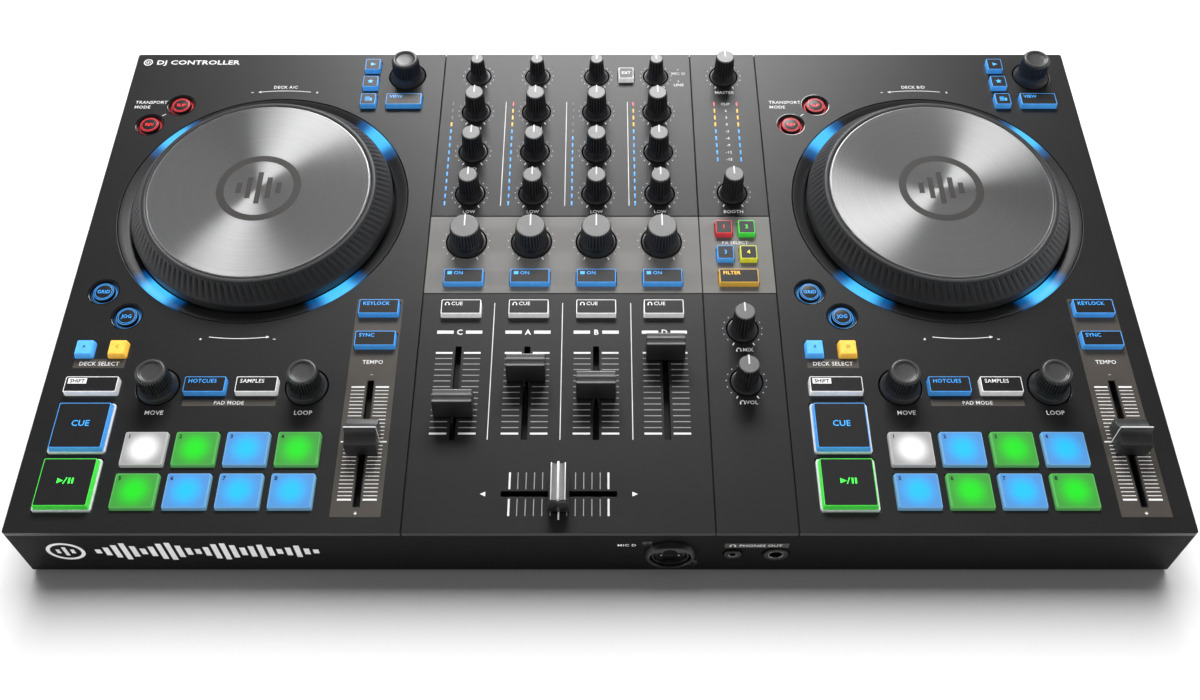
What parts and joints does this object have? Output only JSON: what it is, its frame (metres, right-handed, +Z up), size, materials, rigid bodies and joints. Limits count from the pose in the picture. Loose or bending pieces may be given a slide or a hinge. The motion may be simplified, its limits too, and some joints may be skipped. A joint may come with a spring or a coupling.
{
  "type": "dj controller",
  "caption": "Flat case with two jog wheels, a mixer section with turning knobs and sliding faders, lit square pads, push buttons, and sockets in the front and rear walls.",
  "frame": {"origin": "on the table, under the middle of the case", "axes": "+X to the player's right, +Y away from the player, +Z up"},
  "size_m": [0.528, 0.303, 0.0585],
  "materials": {
    "case_plastic": "satin dark grey paint",
    "base_plastic": "fine texture",
    "foot_rubber": "matt",
    "circuit_board": "solder mask",
    "socket_plastic": "semi-gloss",
    "light_ring": "smoked, blue light in four arcs",
    "jog_rim": "ribbed, satin",
    "jog_disc": "circular brushing",
    "knob_plastic": "fluted, satin",
    "cap_plastic": "satin with a bright ridge",
    "key_plastic": "translucent body, black face",
    "play_plastic": "translucent body, black face",
    "pad_rubber": "frosted silicone, lit from below"
  },
  "bodies": {
    "case": {"top_case": "case_plastic", "bottom_case": "base_plastic", "rubber_foot_front": "foot_rubber", "rubber_foot_rear": "foot_rubber", "main_board": "circuit_board", "mic_socket": "socket_plastic", "phones_sockets": "socket_plastic", "rear_sockets": "socket_plastic", "light_ring_left": "light_ring", "light_ring_right": "light_ring"},
    "jog_wheel_left": {"jog_rim_left": "jog_rim", "jog_disc_left": "jog_disc"},
    "browse_encoder_left": {"browse_encoder_left": "knob_plastic"},
    "move_encoder_left": {"move_encoder_left": "knob_plastic"},
    "loop_encoder_left": {"loop_encoder_left": "knob_plastic"},
    "tempo_fader_left": {"tempo_fader_left": "cap_plastic"},
    "deck_keys_left": {"deck_keys_left": "key_plastic"},
    "pads_left": {"pads_left": "pad_rubber"},
    "cue_button_left": {"cue_button_left": "key_plastic"},
    "play_button_left": {"play_button_left": "play_plastic"},
    "jog_wheel_right": {"jog_rim_right": "jog_rim", "jog_disc_right": "jog_disc"},
    "browse_encoder_right": {"browse_encoder_right": "knob_plastic"},
    "move_encoder_right": {"move_encoder_right": "knob_plastic"},
    "loop_encoder_right": {"loop_encoder_right": "knob_plastic"},
    "tempo_fader_right": {"tempo_fader_right": "cap_plastic"},
    "deck_keys_right": {"deck_keys_right": "key_plastic"},
    "pads_right": {"pads_right": "pad_rubber"},
    "cue_button_right": {"cue_button_right": "key_plastic"},
    "play_button_right": {"play_button_right": "play_plastic"},
    "gain_knob_c": {"gain_knob_c": "knob_plastic"},
    "high_knob_c": {"high_knob_c": "knob_plastic"},
    "mid_knob_c": {"mid_knob_c": "knob_plastic"},
    "low_knob_c": {"low_knob_c": "knob_plastic"},
    "filter_knob_c": {"filter_knob_c": "knob_plastic"},
    "gain_knob_a": {"gain_knob_a": "knob_plastic"},
    "high_knob_a": {"high_knob_a": "knob_plastic"},
    "mid_knob_a": {"mid_knob_a": "knob_plastic"},
    "low_knob_a": {"low_knob_a": "knob_plastic"},
    "filter_knob_a": {"filter_knob_a": "knob_plastic"},
    "gain_knob_b": {"gain_knob_b": "knob_plastic"},
    "high_knob_b": {"high_knob_b": "knob_plastic"},
    "mid_knob_b": {"mid_knob_b": "knob_plastic"},
    "low_knob_b": {"low_knob_b": "knob_plastic"},
    "filter_knob_b": {"filter_knob_b": "knob_plastic"},
    "gain_knob_d": {"gain_knob_d": "knob_plastic"},
    "high_knob_d": {"high_knob_d": "knob_plastic"},
    "mid_knob_d": {"mid_knob_d": "knob_plastic"},
    "low_knob_d": {"low_knob_d": "knob_plastic"},
    "filter_knob_d": {"filter_knob_d": "knob_plastic"},
    "master_knob": {"master_knob": "knob_plastic"},
    "booth_knob": {"booth_knob": "knob_plastic"},
    "phones_mix_knob": {"phones_mix_knob": "knob_plastic"},
    "phones_volume_knob": {"phones_volume_knob": "knob_plastic"},
    "channel_fader_c": {"channel_fader_c": "cap_plastic"},
    "channel_fader_a": {"channel_fader_a": "cap_plastic"},
    "channel_fader_b": {"channel_fader_b": "cap_plastic"},
    "channel_fader_d": {"channel_fader_d": "cap_plastic"},
    "crossfader": {"crossfader": "cap_plastic"},
    "mixer_keys": {"mixer_keys": "key_plastic"}
  },
  "joints": [
    {"name": "jog_wheel_left_turn", "type": "hinge", "parent": "case", "child": "jog_wheel_left", "pos_m": [-0.176, 0.03815, 0.0425], "axis": [0, 0, 1], "continuous": true},
    {"name": "browse_encoder_left_turn", "type": "hinge", "parent": "case", "child": "browse_encoder_left", "pos_m": [-0.1087, 0.1311, 0.0425], "axis": [0, 0, 1], "continuous": true},
    {"name": "move_encoder_left_turn", "type": "hinge", "parent": "case", "child": "move_encoder_left", "pos_m": [-0.2096, -0.0734, 0.0425], "axis": [0, 0, 1], "continuous": true},
    {"name": "loop_encoder_left_turn", "type": "hinge", "parent": "case", "child": "loop_encoder_left", "pos_m": [-0.139, -0.0734, 0.0425], "axis": [0, 0, 1], "continuous": true},
    {"name": "tempo_fader_left_slide", "type": "slide", "parent": "case", "child": "tempo_fader_left", "axis": [0, 1, 0], "range_m": [-0.03, 0.03]},
    {"name": "deck_keys_left_press", "type": "slide", "parent": "case", "child": "deck_keys_left", "axis": [0, 0, -1], "range_m": [0, 0.001], "stiffness_N_per_m": 900, "springref_m": -0.0008},
    {"name": "pads_left_press", "type": "slide", "parent": "case", "child": "pads_left", "axis": [0, 0, -1], "range_m": [0, 0.001], "stiffness_N_per_m": 900, "springref_m": -0.0008},
    {"name": "cue_button_left_press", "type": "slide", "parent": "case", "child": "cue_button_left", "axis": [0, 0, -1], "range_m": [0, 0.001], "stiffness_N_per_m": 500, "springref_m": -0.0008},
    {"name": "play_button_left_press", "type": "slide", "parent": "case", "child": "play_button_left", "axis": [0, 0, -1], "range_m": [0, 0.001], "stiffness_N_per_m": 500, "springref_m": -0.0008},
    {"name": "jog_wheel_right_turn", "type": "hinge", "parent": "case", "child": "jog_wheel_right", "pos_m": [0.176, 0.03815, 0.0425], "axis": [0, 0, 1], "continuous": true},
    {"name": "browse_encoder_right_turn", "type": "hinge", "parent": "case", "child": "browse_encoder_right", "pos_m": [0.2433, 0.1311, 0.0425], "axis": [0, 0, 1], "continuous": true},
    {"name": "move_encoder_right_turn", "type": "hinge", "parent": "case", "child": "move_encoder_right", "pos_m": [0.1424, -0.0734, 0.0425], "axis": [0, 0, 1], "continuous": true},
    {"name": "loop_encoder_right_turn", "type": "hinge", "parent": "case", "child": "loop_encoder_right", "pos_m": [0.213, -0.0734, 0.0425], "axis": [0, 0, 1], "continuous": true},
    {"name": "tempo_fader_right_slide", "type": "slide", "parent": "case", "child": "tempo_fader_right", "axis": [0, 1, 0], "range_m": [-0.03, 0.03]},
    {"name": "deck_keys_right_press", "type": "slide", "parent": "case", "child": "deck_keys_right", "axis": [0, 0, -1], "range_m": [0, 0.001], "stiffness_N_per_m": 900, "springref_m": -0.0008},
    {"name": "pads_right_press", "type": "slide", "parent": "case", "child": "pads_right", "axis": [0, 0, -1], "range_m": [0, 0.001], "stiffness_N_per_m": 900, "springref_m": -0.0008},
    {"name": "cue_button_right_press", "type": "slide", "parent": "case", "child": "cue_button_right", "axis": [0, 0, -1], "range_m": [0, 0.001], "stiffness_N_per_m": 500, "springref_m": -0.0008},
    {"name": "play_button_right_press", "type": "slide", "parent": "case", "child": "play_button_right", "axis": [0, 0, -1], "range_m": [0, 0.001], "stiffness_N_per_m": 500, "springref_m": -0.0008},
    {"name": "gain_knob_c_turn", "type": "hinge", "parent": "case", "child": "gain_knob_c", "pos_m": [-0.0684, 0.1308, 0.0425], "axis": [0, 0, 1], "range_deg": [-150, 150]},
    {"name": "high_knob_c_turn", "type": "hinge", "parent": "case", "child": "high_knob_c", "pos_m": [-0.0684, 0.1037, 0.0425], "axis": [0, 0, 1], "range_deg": [-150, 150]},
    {"name": "mid_knob_c_turn", "type": "hinge", "parent": "case", "child": "mid_knob_c", "pos_m": [-0.0684, 0.0744, 0.0425], "axis": [0, 0, 1], "range_deg": [-150, 150]},
    {"name": "low_knob_c_turn", "type": "hinge", "parent": "case", "child": "low_knob_c", "pos_m": [-0.0684, 0.0451, 0.0425], "axis": [0, 0, 1], "range_deg": [-150, 150]},
    {"name": "filter_knob_c_turn", "type": "hinge", "parent": "case", "child": "filter_knob_c", "pos_m": [-0.0684, 0.0131, 0.0425], "axis": [0, 0, 1], "range_deg": [-150, 150]},
    {"name": "gain_knob_a_turn", "type": "hinge", "parent": "case", "child": "gain_knob_a", "pos_m": [-0.03513, 0.1308, 0.0425], "axis": [0, 0, 1], "range_deg": [-150, 150]},
    {"name": "high_knob_a_turn", "type": "hinge", "parent": "case", "child": "high_knob_a", "pos_m": [-0.03513, 0.1037, 0.0425], "axis": [0, 0, 1], "range_deg": [-150, 150]},
    {"name": "mid_knob_a_turn", "type": "hinge", "parent": "case", "child": "mid_knob_a", "pos_m": [-0.03513, 0.0744, 0.0425], "axis": [0, 0, 1], "range_deg": [-150, 150]},
    {"name": "low_knob_a_turn", "type": "hinge", "parent": "case", "child": "low_knob_a", "pos_m": [-0.03513, 0.0451, 0.0425], "axis": [0, 0, 1], "range_deg": [-150, 150]},
    {"name": "filter_knob_a_turn", "type": "hinge", "parent": "case", "child": "filter_knob_a", "pos_m": [-0.03513, 0.0131, 0.0425], "axis": [0, 0, 1], "range_deg": [-150, 150]},
    {"name": "gain_knob_b_turn", "type": "hinge", "parent": "case", "child": "gain_knob_b", "pos_m": [-0.00186, 0.1308, 0.0425], "axis": [0, 0, 1], "range_deg": [-150, 150]},
    {"name": "high_knob_b_turn", "type": "hinge", "parent": "case", "child": "high_knob_b", "pos_m": [-0.00186, 0.1037, 0.0425], "axis": [0, 0, 1], "range_deg": [-150, 150]},
    {"name": "mid_knob_b_turn", "type": "hinge", "parent": "case", "child": "mid_knob_b", "pos_m": [-0.00186, 0.0744, 0.0425], "axis": [0, 0, 1], "range_deg": [-150, 150]},
    {"name": "low_knob_b_turn", "type": "hinge", "parent": "case", "child": "low_knob_b", "pos_m": [-0.00186, 0.0451, 0.0425], "axis": [0, 0, 1], "range_deg": [-150, 150]},
    {"name": "filter_knob_b_turn", "type": "hinge", "parent": "case", "child": "filter_knob_b", "pos_m": [-0.00186, 0.0131, 0.0425], "axis": [0, 0, 1], "range_deg": [-150, 150]},
    {"name": "gain_knob_d_turn", "type": "hinge", "parent": "case", "child": "gain_knob_d", "pos_m": [0.03141, 0.1308, 0.0425], "axis": [0, 0, 1], "range_deg": [-150, 150]},
    {"name": "high_knob_d_turn", "type": "hinge", "parent": "case", "child": "high_knob_d", "pos_m": [0.03141, 0.1037, 0.0425], "axis": [0, 0, 1], "range_deg": [-150, 150]},
    {"name": "mid_knob_d_turn", "type": "hinge", "parent": "case", "child": "mid_knob_d", "pos_m": [0.03141, 0.0744, 0.0425], "axis": [0, 0, 1], "range_deg": [-150, 150]},
    {"name": "low_knob_d_turn", "type": "hinge", "parent": "case", "child": "low_knob_d", "pos_m": [0.03141, 0.0451, 0.0425], "axis": [0, 0, 1], "range_deg": [-150, 150]},
    {"name": "filter_knob_d_turn", "type": "hinge", "parent": "case", "child": "filter_knob_d", "pos_m": [0.03141, 0.0131, 0.0425], "axis": [0, 0, 1], "range_deg": [-150, 150]},
    {"name": "master_knob_turn", "type": "hinge", "parent": "case", "child": "master_knob", "pos_m": [0.0696, 0.1308, 0.0425], "axis": [0, 0, 1], "range_deg": [-150, 150]},
    {"name": "booth_knob_turn", "type": "hinge", "parent": "case", "child": "booth_knob", "pos_m": [0.0696, 0.0456, 0.0425], "axis": [0, 0, 1], "range_deg": [-150, 150]},
    {"name": "phones_mix_knob_turn", "type": "hinge", "parent": "case", "child": "phones_mix_knob", "pos_m": [0.0696, -0.0407, 0.0425], "axis": [0, 0, 1], "range_deg": [-150, 150]},
    {"name": "phones_volume_knob_turn", "type": "hinge", "parent": "case", "child": "phones_volume_knob", "pos_m": [0.0696, -0.0706, 0.0425], "axis": [0, 0, 1], "range_deg": [-150, 150]},
    {"name": "channel_fader_c_slide", "type": "slide", "parent": "case", "child": "channel_fader_c", "axis": [0, 1, 0], "range_m": [-0.0129, 0.0317]},
    {"name": "channel_fader_a_slide", "type": "slide", "parent": "case", "child": "channel_fader_a", "axis": [0, 1, 0], "range_m": [-0.0324, 0.0122]},
    {"name": "channel_fader_b_slide", "type": "slide", "parent": "case", "child": "channel_fader_b", "axis": [0, 1, 0], "range_m": [-0.0228, 0.0218]},
    {"name": "channel_fader_d_slide", "type": "slide", "parent": "case", "child": "channel_fader_d", "axis": [0, 1, 0], "range_m": [-0.0442, 0.0004]},
    {"name": "crossfader_slide", "type": "slide", "parent": "case", "child": "crossfader", "axis": [1, 0, 0], "range_m": [-0.0225, 0.0225]},
    {"name": "mixer_keys_press", "type": "slide", "parent": "case", "child": "mixer_keys", "axis": [0, 0, -1], "range_m": [0, 0.001], "stiffness_N_per_m": 900, "springref_m": -0.0008}
  ]
}
